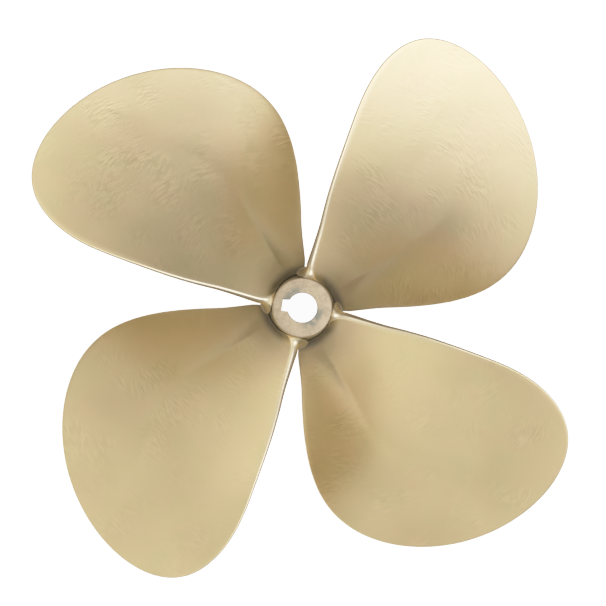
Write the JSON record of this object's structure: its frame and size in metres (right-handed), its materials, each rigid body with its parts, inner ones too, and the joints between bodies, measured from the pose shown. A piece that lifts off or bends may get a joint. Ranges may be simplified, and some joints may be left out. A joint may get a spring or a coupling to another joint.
{
  "type": "ship propeller",
  "caption": "Right-handed monobloc ship propeller in hand-ground bronze: broad skewed blades on a small tapered hub, bored and keyed for a tapered shaft.",
  "frame": {"origin": "centre of the hub's forward face, on the shaft axis, which is also the level that the casting stands on", "axes": "+Z along the shaft axis, pointing aft, towards the nut end of the hub and the blades' driving faces; the keyway lies on -X; +Y completes the right-handed frame"},
  "size_m": [0.6588, 0.6606, 0.1467],
  "materials": {
    "bronze": "cast bronze, hand ground with a fine abrasive to a satin sheen; hub ends turned"
  },
  "bodies": {
    "root": {"propeller_casting": "bronze"}
  },
  "joints": []
}
